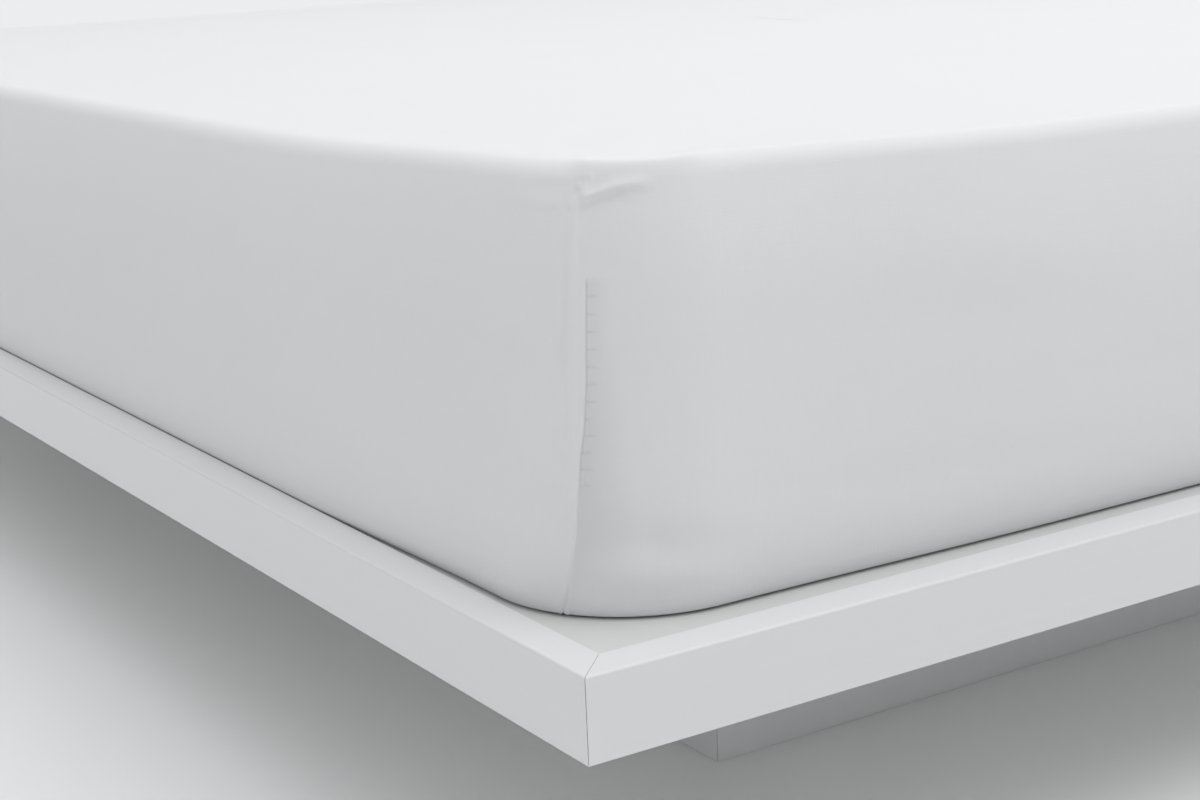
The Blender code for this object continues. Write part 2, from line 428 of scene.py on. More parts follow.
@dataclass
class FittedSheet:
    """The cotton sheet: its shell, its flat cut and the relief of its seams."""

    shape: CoverShape
    thickness: float = 0.0015
    near_columns: tuple[float, float, float] = (0.0007, 1.09, 0.011)
    far_columns: tuple[float, float, float] = (0.0012, 1.22, 0.036)
    border_rows: tuple[float, float, float] = (0.0022, 1.22, 0.010)
    hem_rows: int = 4
    arc_rows: int = 6
    wall_rows: int = 56
    crest_rows: int = 48
    crest_run: float = 0.195
    ring_step: float = 0.036
    middle_left: float = 0.060
    inner_every: int = 5
    crown: float = 0.004
    crown_run: float = 0.45
    top_start: float = 0.040
    foot_start: float = 0.006
    seam_blend: float = 0.160
    seam_depth: float = 0.0008
    seam_half_width: float = 0.0009
    seam_top: float = 0.1990
    seam_end: float = 0.006
    step_high: float = 0.0014
    step_low: float = 0.0034
    step_span: float = 0.130
    step_start: float = 0.050
    recovery_high: float = 0.0070
    recovery_low: float = 0.0200
    step_width: float = 0.0010
    step_width_low: float = 0.0060
    widening_top: float = 0.100
    widening_span: float = 0.050

    def corner_style(self, corner: int) -> CornerStyle:
        """The near corner has its own folds, and the rest share plain ones."""
        return NEAR_CORNER if corner == 0 else PLAIN_CORNER

    def columns(self, corner: int, side: int) -> np.ndarray:
        """Where the cloth has points between a corner's middle and a wall's middle.

        Args:
            corner: 0 for the near corner, and the rest anticlockwise.
            side: 1 for the wall after the corner's middle, -1 for the wall before it.

        Returns:
            Shares of the half side, closest together by the seam.
        """
        steps = self.near_columns if corner == 0 else self.far_columns
        return graded(*steps, self.shape.half_side(corner, side))

    def levels(self) -> np.ndarray:
        """Where the outer surface has rows.

        Returns:
            Runs from the hem's edge to the top's middle, finest where the creases are.
        """
        s = self.shape
        last = s.rim_run + s.half_width - s.shoulder_radius - self.middle_left
        rings = round((last - s.rim_run - s.top_border) / self.ring_step)
        return np.concatenate((
            np.linspace(-s.hem_tuck + s.bottom_radius, -0.01, self.hem_rows),
            np.linspace(0.0, s.arc_run, self.arc_rows)[:-1],
            np.linspace(s.arc_run, self.crest_run, self.wall_rows)[:-1],
            np.linspace(self.crest_run, s.rim_run, self.crest_rows)[:-1],
            s.rim_run + graded(*self.border_rows, s.top_border) * s.top_border,
            np.linspace(s.rim_run + s.top_border, last, rings + 1)[1:],
        ))

    def grid(self, levels: np.ndarray) -> list[dict[str, np.ndarray]]:
        """The cloth's grid, as one block of columns for each half side.

        Args:
            levels: the runs of the rows.

        Returns:
            Blocks in anticlockwise order, each with its corner, along and run arrays.
        """
        blocks = []
        travelled = 0.0
        for corner in range(4):
            seam = self.corner_style(corner).seam.along(levels)[:, None]
            _, z, _ = self.shape.section(levels)
            radius = self.shape.corner_radius(z)[:, None]
            for wall in Wall:
                side = wall.value
                shares = self.columns(corner, side)
                if wall is Wall.BEFORE:
                    shares = shares[:-1][::-1]
                else:
                    shares = np.concatenate(((0.0,), shares))
                reach = self.shape.half_side(corner, side) + radius * (math.pi / 4 - 1)
                along = side * shares * reach + seam * (1 - smooth(
                    shares * reach / self.seam_blend))
                nominal = self.shape.half_side(corner, side)
                if wall is Wall.BEFORE and corner > 0:
                    travelled += nominal
                blocks.append({
                    "corner": np.full(along.shape, corner),
                    "along": along,
                    "run": np.broadcast_to(levels[:, None], along.shape).copy(),
                    "from_seam": along - seam,
                    "round": np.broadcast_to(travelled + side * shares * nominal, along.shape),
                })
                if wall is Wall.AFTER:
                    travelled += nominal
        return blocks

    def relief(self, block: dict[str, np.ndarray]) -> np.ndarray:
        """How far folds, creases and the seam move the cloth along its normal.

        Args:
            block: one block of the cloth's grid.

        Returns:
            The distance at each of the block's points.
        """
        corner = int(block["corner"][0, 0])
        style = self.corner_style(corner)
        along, run = block["along"], block["run"]
        relief = fold_relief(style.folds, along, run)
        for crease in style.creases:
            relief += crease_relief(crease, along, run)
        relief += self.seam_relief(block["from_seam"], run)
        return relief * smooth(run / self.foot_start)

    def seam_relief(self, from_seam: np.ndarray, run: np.ndarray) -> np.ndarray:
        """The seam's groove, and the step down from the cloth that laps over it.

        Args:
            from_seam: distance round the wall from the seam.
            run: distance up the section.

        Returns:
            How far the cloth moves along its normal.
        """
        sewn = smooth((self.seam_top - run) / self.seam_end)
        lower = smooth((self.seam_top - run) / self.step_span)
        step = self.step_high + (self.step_low - self.step_high) * lower
        recovery = self.recovery_high + (self.recovery_low - self.recovery_high) * lower
        widened = smooth((self.widening_top - run) / self.widening_span)
        width = self.step_width + (self.step_width_low - self.step_width) * widened
        after = np.maximum(from_seam, 0.0)
        relief = step * (1 - bell(after / width)) * np.exp(-after / recovery)
        relief *= smooth(run / self.step_start)
        relief += self.seam_depth * bell(from_seam / self.seam_half_width)
        return -relief * sewn

    def top_relief(self, places: np.ndarray, run: np.ndarray) -> np.ndarray:
        """The top's soft crown, and the long swells that the tension leaves in it.

        Args:
            places: the cloth's smooth places.
            run: distance up the section, which climbs on across the top.

        Returns:
            How far the cloth moves along its normal.
        """
        inward = run - self.shape.rim_run
        relief = self.crown * smooth(inward / self.crown_run)
        for swell in TOP_SWELLS:
            x = places[..., 0] - self.shape.centre[0] - swell.across * self.shape.half_width
            y = places[..., 1] - self.shape.centre[1] - swell.lengthwise * self.shape.half_length
            ahead = x * math.cos(swell.turn) + y * math.sin(swell.turn)
            aside = y * math.cos(swell.turn) - x * math.sin(swell.turn)
            relief += swell.height * bell(ahead / swell.half_length) * (
                bell(aside / swell.half_width))
        return relief * smooth(inward / self.top_start)

    def surface(self, levels: np.ndarray, depth: float
                ) -> tuple[np.ndarray, np.ndarray, np.ndarray, np.ndarray]:
        """Rows of points round the whole cover, with what the maps need.

        Args:
            levels: the runs of the rows.
            depth: how far inside the outer surface the points lie.

        Returns:
            Points, distances round the cover, runs and distances from the seam, each with a
            row for a level.
        """
        parts = []
        for block in self.grid(levels):
            corner = int(block["corner"][0, 0])
            places, normals = self.shape.points(corner, block["along"], block["run"])
            relief = self.relief(block) + self.top_relief(places, block["run"]) - depth
            parts.append((places + normals * relief[..., None], block["round"], block["run"],
                          block["from_seam"]))
        return tuple(np.concatenate(group, axis=1) for group in zip(*parts))

    def build(self, name: str) -> bpy.types.Object:
        """Build the sheet's shell as a closed mesh with its maps.

        Args:
            name: the object's name.

        Returns:
            The object.
        """
        outer_levels = self.levels()
        inner_levels = outer_levels[::self.inner_every]
        if inner_levels[-1] != outer_levels[-1]:
            inner_levels = np.append(inner_levels, outer_levels[-1])
        outer, *outer_maps = self.surface(outer_levels, 0.0)
        inner, *inner_maps = self.surface(inner_levels, self.thickness)
        made = shell_mesh(name, outer, inner)
        round_by, run, from_seam = (
            np.concatenate((a.ravel(), b.ravel())) for a, b in zip(outer_maps, inner_maps))
        girth = 4 * (self.shape.half_width + self.shape.half_length)
        add_uv_map(made.data, CLOTH_MAP, np.stack((round_by, run), axis=-1), girth)
        add_uv_map(made.data, SEAM_MAP, np.stack((from_seam, run), axis=-1))
        return made

    def seam_guide(self, corner: int, low: float, high: float, side_step: float
                   ) -> tuple[np.ndarray, np.ndarray, np.ndarray]:
        """Points beside a seam for its stitches, with the cloth's normal and crosswise way.

        Args:
            corner: the corner whose seam it is.
            low: the run where the stitches start.
            high: the run where they end.
            side_step: how far beside the seam the stitches' middles lie.

        Returns:
            Points, normals and crosswise directions.
        """
        runs = np.linspace(low, high, 60)
        seam = self.corner_style(corner).seam.along(runs)
        placed = []
        for step in (0.0, side_step, 2 * side_step):
            block = {"corner": np.full((60, 1), corner), "along": (seam + step)[:, None],
                     "run": runs[:, None], "from_seam": np.full((60, 1), step)}
            places, normals = self.shape.points(corner, block["along"], block["run"])
            placed.append(((places + normals * self.relief(block)[..., None])[:, 0],
                           normals[:, 0]))
        across = placed[2][0] - placed[0][0]
        across /= np.linalg.norm(across, axis=1)[:, None]
        return placed[1][0], placed[1][1], across


def linked(name: str, data: bpy.types.ID) -> bpy.types.Object:
    """A new object in the scene.

    Args:
        name: the object's name.
        data: its mesh, camera or lamp.

    Returns:
        The object.
    """
    made = bpy.data.objects.new(name, data)
    bpy.context.scene.collection.objects.link(made)
    return made


def ring_faces(rows: int, columns: int, start: int = 0) -> list[tuple[np.ndarray, ...]]:
    """Faces between closed rows of points, each row above the last.

    Args:
        rows: how many rows there are.
        columns: how many points each row has, anticlockwise seen from above.
        start: the first point's number.

    Returns:
        Four-sided faces that point out.
    """
    before = start + np.arange(columns)
    after = start + (np.arange(columns) + 1) % columns
    faces: list[tuple[np.ndarray, ...]] = []
    for row in range(rows - 1):
        low, high = row * columns, (row + 1) * columns
        faces += list(zip(low + before, low + after, high + after, high + before))
    return faces


def shell_mesh(name: str, outer: np.ndarray, inner: np.ndarray) -> bpy.types.Object:
    """A closed thin shell from rows of outer and inner points.

    Args:
        name: the object's name.
        outer: rows of outer points, from the hem's edge to the top.
        inner: rows of inner points, with the same columns.

    Returns:
        The object, with its faces pointing out.
    """
    columns = outer.shape[1]
    before = np.arange(columns)
    after = (before + 1) % columns
    rim = outer.shape[0] * columns
    faces = ring_faces(outer.shape[0], columns)
    faces.append(tuple(rim - columns + before))
    inside = ring_faces(inner.shape[0], columns, rim)
    inside.append(tuple(rim + (inner.shape[0] - 1) * columns + before))
    faces += [face[::-1] for face in inside]
    faces += list(zip(before, rim + before, rim + after, after))
    points = np.concatenate((outer.reshape(-1, 3), inner.reshape(-1, 3)))
    return mesh_object(name, points, faces)


def mesh_object(name: str, points: np.ndarray, faces: list[tuple[int, ...]]
                ) -> bpy.types.Object:
    """A smooth-shaded object from points and faces, linked to the scene.

    Args:
        name: the name of the object and of its mesh.
        points: a row of x, y, z for each vertex.
        faces: the vertices of each face.

    Returns:
        The object.
    """
    data = bpy.data.meshes.new(name)
    data.from_pydata(points.tolist(), [], [tuple(int(i) for i in face) for face in faces])
    data.shade_smooth()
    data.update()
    return linked(name, data)


def add_uv_map(data: bpy.types.Mesh, name: str, values: np.ndarray, girth: float = 0.0) -> None:
    """Give a mesh a UV map from one pair of numbers for each vertex.

    Args:
        data: the mesh.
        name: the map's name.
        values: a pair for each vertex.
        girth: where the first number closes on itself, its full turn.
    """
    index = np.empty(len(data.loops), dtype=np.int64)
    data.loops.foreach_get("vertex_index", index)
    pairs = values[index].astype(np.float32)
    if girth > 0.0:
        starts = np.empty(len(data.polygons), dtype=np.int64)
        counts = np.empty(len(data.polygons), dtype=np.int64)
        data.polygons.foreach_get("loop_start", starts)
        data.polygons.foreach_get("loop_total", counts)
        first = pairs[:, 0]
        widest = np.maximum.reduceat(first, starts) - np.minimum.reduceat(first, starts)
        closing = np.repeat((widest > girth / 2) & (counts == 4), counts)
        pairs[closing & (pairs[:, 0] < girth / 4), 0] += girth
    layer = data.uv_layers.new(name=name)
    layer.data.foreach_set("uv", pairs.ravel())


class NodeTree:
    """A short way to write node trees: add nodes and link them by name."""

    def __init__(self, tree: bpy.types.NodeTree) -> None:
        """Hold the tree to be written."""
        self.tree = tree

    def add(self, kind: str, settings: dict[str, object] | None = None,
            **inputs: object) -> bpy.types.Node:
        """Add a node, set its properties, and set or link its inputs.

        Args:
            kind: the node's type name.
            settings: properties of the node itself.
            inputs: values or output sockets by input name, with _ for a space.

        Returns:
            The node.
        """
        node = self.tree.nodes.new(kind)
        for key, value in (settings or {}).items():
            setattr(node, key, value)
        for key, value in inputs.items():
            self.feed(node, key.replace("_", " "), value)
        return node

    def feed(self, node: bpy.types.Node, key: str | int, value: object) -> None:
        """Set an input of a node, or link an output socket to it.

        Args:
            node: the node.
            key: the input's name or its place.
            value: a plain value, or an output socket.
        """
        if isinstance(value, bpy.types.NodeSocket):
            self.tree.links.new(value, node.inputs[key])
        else:
            node.inputs[key].default_value = value

    def math(self, operation: str, *values: object) -> bpy.types.NodeSocket:
        """A Math node's result.

        Args:
            operation: the node's operation.
            values: numbers or sockets, in the node's order.

        Returns:
            The output socket.
        """
        node = self.add("ShaderNodeMath", {"operation": operation})
        for place, value in enumerate(values):
            self.feed(node, place, value)
        return node.outputs[0]

    def band(self, value: bpy.types.NodeSocket, low: object, high: object,
             to_low: object = 0.0, to_high: object = 1.0) -> bpy.types.NodeSocket:
        """A value eased from one range to another.

        Args:
            value: the value.
            low: where it starts to change.
            high: where it ends.
            to_low: the result at low and below it.
            to_high: the result at high and above it.

        Returns:
            The output socket.
        """
        node = self.add("ShaderNodeMapRange", {"interpolation_type": "SMOOTHSTEP"},
                        Value=value, From_Min=low, From_Max=high, To_Min=to_low, To_Max=to_high)
        return node.outputs["Result"]

    def mix(self, factor: object, first: object, second: object) -> bpy.types.NodeSocket:
        """A blend of two numbers.

        Args:
            factor: the share of the second.
            first: the first number or socket.
            second: the second.

        Returns:
            The output socket.
        """
        return self.total(self.product(first, self.math("SUBTRACT", 1.0, factor)),
                          self.product(second, factor))

    def product(self, *values: object) -> bpy.types.NodeSocket:
        """The product of two or more numbers."""
        return reduce(partial(self.math, "MULTIPLY"), values)

    def total(self, *values: object) -> bpy.types.NodeSocket:
        """The sum of two or more numbers."""
        return reduce(partial(self.math, "ADD"), values)

    def bump(self, strength: float, distance: float, height: bpy.types.NodeSocket,
             under: bpy.types.NodeSocket | None = None) -> bpy.types.NodeSocket:
        """A bumped normal.

        Args:
            strength: how strong the bump is.
            distance: how high a height of 1 stands.
            height: the heights.
            under: a normal that it is laid over.

        Returns:
            The normal's socket.
        """
        node = self.add("ShaderNodeBump", Strength=strength, Distance=distance, Height=height)
        if under is not None:
            self.feed(node, "Normal", under)
        return node.outputs[0]


class ShaderGroup:
    """A shader node group with named inputs and outputs, made once."""

    def __init__(self, name: str, inputs: dict[str, float], outputs: tuple[str, ...]) -> None:
        """Make the group, with a vector and the named numbers going in.

        Args:
            name: the group's name.
            inputs: the numbers' names and usual values.
            outputs: the results' names.
        """
        self.group = bpy.data.node_groups.new(name, "ShaderNodeTree")
        face = self.group.interface
        face.new_socket("Vector", in_out="INPUT", socket_type="NodeSocketVector")
        for key, value in inputs.items():
            socket = face.new_socket(key, in_out="INPUT", socket_type="NodeSocketFloat")
            socket.default_value = value
        for key in outputs:
            face.new_socket(key, in_out="OUTPUT", socket_type="NodeSocketFloat")
        self.tree = NodeTree(self.group)
        self.start = self.tree.add("NodeGroupInput")
        self.end = self.tree.add("NodeGroupOutput")

    def put_out(self, name: str, socket: bpy.types.NodeSocket) -> None:
        """Link a result to one of the group's outputs."""
        self.group.links.new(socket, self.end.inputs[name])

    def place(self, tree: NodeTree, vector: bpy.types.NodeSocket, **values: float
              ) -> bpy.types.Node:
        """Place the group in a material.

        Args:
            tree: the material's tree.
            vector: what the group's vector is linked to.
            values: its numbers by name, with _ for a space.

        Returns:
            The group's node.
        """
        node = tree.add("ShaderNodeGroup")
        node.node_tree = self.group
        tree.feed(node, "Vector", vector)
        for key, value in values.items():
            tree.feed(node, key.replace("_", " "), value)
        return node


def woven_group() -> ShaderGroup:
    """Plain weave with slubs: threads crossing, some thicker for a short stretch.

    Returns:
        The group, which gives a shade and a height.
    """
    made = ShaderGroup("woven_cloth", {"Thread Pitch": 0.0005, "Slub Length": 0.030},
                       ("Shade", "Height"))
    tree, start = made.tree, made.start.outputs
    parts = tree.add("ShaderNodeSeparateXYZ", Vector=start["Vector"]).outputs
    turn = tree.math("DIVIDE", 2 * math.pi, start["Thread Pitch"])
    warp = tree.math("SINE", tree.product(parts["X"], turn))
    weft = tree.math("SINE", tree.product(parts["Y"], turn))
    weave = tree.product(warp, weft)
    slubs = []
    for across, along in (("X", "Y"), ("Y", "X")):
        narrow = tree.math("DIVIDE", parts[across], tree.product(start["Thread Pitch"], 2.2))
        long_way = tree.math("DIVIDE", parts[along], start["Slub Length"])
        stretched = tree.add("ShaderNodeCombineXYZ", X=narrow, Y=long_way).outputs[0]
        noise = tree.add("ShaderNodeTexNoise", Vector=stretched, Scale=1.0, Detail=1.0)
        slubs.append(noise.outputs["Fac"])
    slub = tree.product(tree.total(*slubs), 0.5)
    made.put_out("Shade", slub)
    made.put_out("Height", tree.total(tree.product(weave, 0.25), slub))
    return made


def brushed_group() -> ShaderGroup:
    """Fine straight brush marks in a sprayed lacquer, with the board's slow waviness.

    Returns:
        The group, which gives a shade and a height.
    """
    made = ShaderGroup("brushed_lacquer", {"Line Width": 0.0016, "Line Length": 0.35},
                       ("Shade", "Height"))
    tree, start = made.tree, made.start.outputs
    parts = tree.add("ShaderNodeSeparateXYZ", Vector=start["Vector"]).outputs
    long_way = tree.math("DIVIDE", parts["X"], start["Line Length"])
    lines = []
    for scale in (1.0, 3.1):
        width = tree.product(start["Line Width"], scale)
        stretched = tree.add("ShaderNodeCombineXYZ", X=long_way,
                             Y=tree.math("DIVIDE", parts["Y"], width),
                             Z=tree.math("DIVIDE", parts["Z"], width)).outputs[0]
        noise = tree.add("ShaderNodeTexNoise", Vector=stretched, Scale=1.0, Detail=2.0)
        lines.append(noise.outputs["Fac"])
    both = tree.product(tree.total(*lines), 0.5)
    made.put_out("Shade", both)
    made.put_out("Height", both)
    return made


def seam_group() -> ShaderGroup:
    """Puckers and painted seam shade, from the distance to the seam and the run up the wall.

    Returns:
        The group, which gives the puckers at the stitches, and masks for the painted shade
        of the seam's line and of the hollow beside it.
    """
    made = ShaderGroup("sewn_seam_with_painted_shade", {
        "Pitch": 0.0095, "Length": 0.0075, "Wander": 90.0, "Low": 0.078, "High": 0.1990,
        "Line Width": 0.0009, "Line Low": 0.055, "Line High": 0.100, "Low Spread": 0.042,
        "High Spread": 0.016}, ("Puckers", "Line", "Painted Hollow Shade"))
    tree, start = made.tree, made.start.outputs
    parts = tree.add("ShaderNodeSeparateXYZ", Vector=start["Vector"]).outputs
    from_seam, run = parts["X"], parts["Y"]
    head = tree.band(tree.math("SUBTRACT", start["High"], run), -0.002, 0.003)
    foot = tree.band(tree.math("SUBTRACT", run, start["Low"]), 0.0, 0.012)

    wander = tree.add("ShaderNodeTexNoise", {"noise_dimensions": "1D"},
                      W=tree.product(run, start["Wander"]), Detail=0.0).outputs["Fac"]
    beat = tree.math("PINGPONG", tree.math("DIVIDE", run, start["Pitch"]), 0.5)
    reach = tree.product(start["Length"], tree.total(wander, 0.45))
    share = tree.math("DIVIDE", from_seam, reach)
    # The puckers' mask dents the cloth's bump, and the cotton also darkens it as painted shade.
    made.put_out("Puckers", tree.product(
        tree.band(beat, 0.02, 0.11, 1.0, 0.0), tree.band(share, 0.0, 0.10),
        tree.band(share, 0.35, 1.0, 1.0, 0.0), foot, head))

    aside = tree.math("ABSOLUTE", from_seam)
    # Mask for painted shade along the seam's line, standing in for the shadow in its crevice.
    made.put_out("Line", tree.product(
        tree.band(aside, 0.0002, start["Line Width"], 1.0, 0.0),
        tree.band(run, start["Line Low"], start["Line High"]), head))

    # Mask for painted shade in the hollow beside the seam, where the cloth steps down.
    spread = tree.band(run, 0.05, 0.19, start["Low Spread"], start["High Spread"])
    made.put_out("Painted Hollow Shade", tree.product(
        tree.band(tree.math("DIVIDE", from_seam, spread), 0.0, 1.0, 1.0, 0.0),
        tree.band(from_seam, -0.0003, 0.0008), tree.band(run, 0.05, 0.20, 1.0, 0.50),
        tree.band(run, 0.010, 0.055), head))
    return made


def principled(name: str) -> tuple[bpy.types.Material, NodeTree, bpy.types.Node,
                                   bpy.types.NodeSocket]:
    """A new material.

    Args:
        name: the material's name.

    Returns:
        The material, its tree, its Principled shader and the place on the object.
    """
    made = bpy.data.materials.new(name)
    made.use_nodes = True
    tree = NodeTree(made.node_tree)
    place = tree.add("ShaderNodeTexCoord").outputs["Object"]
    return made, tree, made.node_tree.nodes["Principled BSDF"], place


def tint(tree: NodeTree, colour: tuple[float, float, float], shade: bpy.types.NodeSocket,
         amount: float) -> bpy.types.NodeSocket:
    """A colour whose brightness follows a shade of about 0.5.

    Args:
        tree: the material's tree.
        colour: the colour at a shade of 0.5.
        shade: the shade.
        amount: how much brighter a shade of 1 is than a shade of 0.

    Returns:
        The colour's socket.
    """
    factor = tree.total(1.0 - amount / 2, tree.product(shade, amount))
    base = tree.add("ShaderNodeCombineXYZ", X=colour[0], Y=colour[1], Z=colour[2]).outputs[0]
    scaled = tree.add("ShaderNodeVectorMath", {"operation": "SCALE"}, Scale=factor)
    tree.feed(scaled, 0, base)
    return scaled.outputs[0]


@dataclass(frozen=True)
class CottonFinish:
    """Plain woven white cotton, pulled smooth, with puckers and painted shade beside its seams.
    """

    weave: ShaderGroup
    sewing: ShaderGroup
    colour: tuple[float, float, float] = (0.865, 0.866, 0.880)
    roughness: float = 0.86
    thread_pitch: float = 0.0005
    slub_length: float = 0.028
    slub_shade: float = 0.030
    cloud_shade: float = 0.016
    relief: float = 0.00025
    pucker_relief: float = 0.0003
    # Painted shade: how much the puckers, the seam's line and its hollow darken the colour.
    pucker_painted_shade: float = 0.070
    seam_line_painted_shade: float = 0.16
    hollow_painted_shade: float = 0.125
    stitch_pitch: float = 0.0095

    def material(self, name: str) -> bpy.types.Material:
        """Build the cotton's material.

        Args:
            name: the material's name.

        Returns:
            The material.
        """
        made, tree, shader, place = principled(name)
        cloth = tree.add("ShaderNodeUVMap", {"uv_map": CLOTH_MAP}).outputs["UV"]
        seam = tree.add("ShaderNodeUVMap", {"uv_map": SEAM_MAP}).outputs["UV"]
        facing = tree.add("ShaderNodeSeparateXYZ",
                          Vector=tree.add("ShaderNodeNewGeometry").outputs["Normal"])
        on_top = tree.band(facing.outputs["Z"], 0.90, 0.99)
        wall = self.weave.place(tree, cloth, Thread_Pitch=self.thread_pitch,
                                Slub_Length=self.slub_length)
        top = self.weave.place(tree, place, Thread_Pitch=self.thread_pitch,
                               Slub_Length=self.slub_length)
        shade = tree.mix(on_top, wall.outputs["Shade"], top.outputs["Shade"])
        height = tree.mix(on_top, wall.outputs["Height"], top.outputs["Height"])
        cloud = tree.add("ShaderNodeTexNoise", Vector=place, Scale=9.0, Detail=2.0)
        sewn = self.sewing.place(tree, seam, Pitch=self.stitch_pitch).outputs
        # Painted shade: darker colour in the puckers' grooves, along the seam's line and in the
        # hollow beside it.
        painted_shade = tree.total(tree.product(sewn["Puckers"], self.pucker_painted_shade),
                          tree.product(sewn["Line"], self.seam_line_painted_shade),
                          tree.product(sewn["Painted Hollow Shade"], self.hollow_painted_shade))
        clouded = tree.total(1.0 - self.cloud_shade / 2,
                             tree.product(cloud.outputs["Fac"], self.cloud_shade))
        toned = tree.add("ShaderNodeVectorMath", {"operation": "SCALE"},
                         Scale=tree.math("SUBTRACT", clouded, painted_shade))
        tree.feed(toned, 0, tint(tree, self.colour, shade, self.slub_shade))
        tree.feed(shader, "Base Color", toned.outputs[0])
        dents = tree.product(sewn["Puckers"], -1.0)
        tree.feed(shader, "Normal", tree.bump(0.7, self.pucker_relief, dents,
                                              tree.bump(0.5, self.relief, height)))
        tree.feed(shader, "Roughness", tree.total(self.roughness - 0.03,
                                                  tree.product(shade, 0.06)))
        shader.inputs["Sheen Weight"].default_value = 0.08
        shader.inputs["Sheen Roughness"].default_value = 0.5
        shader.inputs["Specular IOR Level"].default_value = 0.25
        return made


@dataclass(frozen=True)
class ThreadFinish:
    """Cotton sewing thread, with the twist of its plies."""

    colour: tuple[float, float, float] = (0.85, 0.85, 0.86)
    ply_length: float = 0.0006
    relief: float = 0.0001

    def material(self, name: str) -> bpy.types.Material:
        """Build the thread's material.

        Args:
            name: the material's name.

        Returns:
            The material.
        """
        made, tree, shader, place = principled(name)
        twist = tree.add("ShaderNodeTexWave", {"bands_direction": "DIAGONAL"}, Vector=place,
                         Scale=1.0 / self.ply_length / 20, Distortion=0.5)
        tree.feed(shader, "Base Color", tint(tree, self.colour, twist.outputs["Fac"], 0.08))
        tree.feed(shader, "Normal", tree.bump(0.4, self.relief, twist.outputs["Fac"]))
        shader.inputs["Roughness"].default_value = 0.7
        return made


@dataclass(frozen=True)
class TickingFinish:
    """The mattress's own cover: a heavier off-white weave."""

    weave: ShaderGroup
    colour: tuple[float, float, float] = (0.76, 0.75, 0.71)
    thread_pitch: float = 0.0012
    slub_length: float = 0.020
    relief: float = 0.0005

    def material(self, name: str) -> bpy.types.Material:
        """Build the ticking's material.

        Args:
            name: the material's name.

        Returns:
            The material.
        """
        made, tree, shader, place = principled(name)
        weave = self.weave.place(tree, place, Thread_Pitch=self.thread_pitch,
                                 Slub_Length=self.slub_length)
        tree.feed(shader, "Base Color", tint(tree, self.colour, weave.outputs["Shade"], 0.10))
        tree.feed(shader, "Normal", tree.bump(0.6, self.relief, weave.outputs["Height"]))
        shader.inputs["Roughness"].default_value = 0.9
        return made


class GrainWay(Enum):
    """Which way a board's brush marks run."""

    ALONG_X = 0.0
    ALONG_Y = QUARTER_TURN


@dataclass(frozen=True)
class LacquerFinish:
    """White satin lacquer over board, brushed along its length."""

    brushed: ShaderGroup
    colour: tuple[float, float, float] = (0.798, 0.803, 0.811)
    roughness: float = 0.34
    line_width: float = 0.0016
    shade: float = 0.035
    relief: float = 0.00012

    def material(self, name: str, way: GrainWay) -> bpy.types.Material:
        """Build the lacquer.

        Args:
            name: the material's name.
            way: which way its brush marks run.

        Returns:
            The material.
        """
        made, tree, shader, place = principled(name)
        turned = tree.add("ShaderNodeMapping", {"vector_type": "TEXTURE"}, Vector=place,
                          Rotation=(0.0, 0.0, way.value)).outputs[0]
        grain = self.brushed.place(tree, turned, Line_Width=self.line_width)
        tree.feed(shader, "Base Color", tint(tree, self.colour, grain.outputs["Shade"],
                                             self.shade))
        tree.feed(shader, "Roughness", tree.total(
            self.roughness - 0.06, tree.product(grain.outputs["Shade"], 0.12)))
        tree.feed(shader, "Normal", tree.bump(0.35, self.relief, grain.outputs["Height"]))
        shader.inputs["Coat Weight"].default_value = 0.25
        shader.inputs["Coat Roughness"].default_value = 0.18
        return made


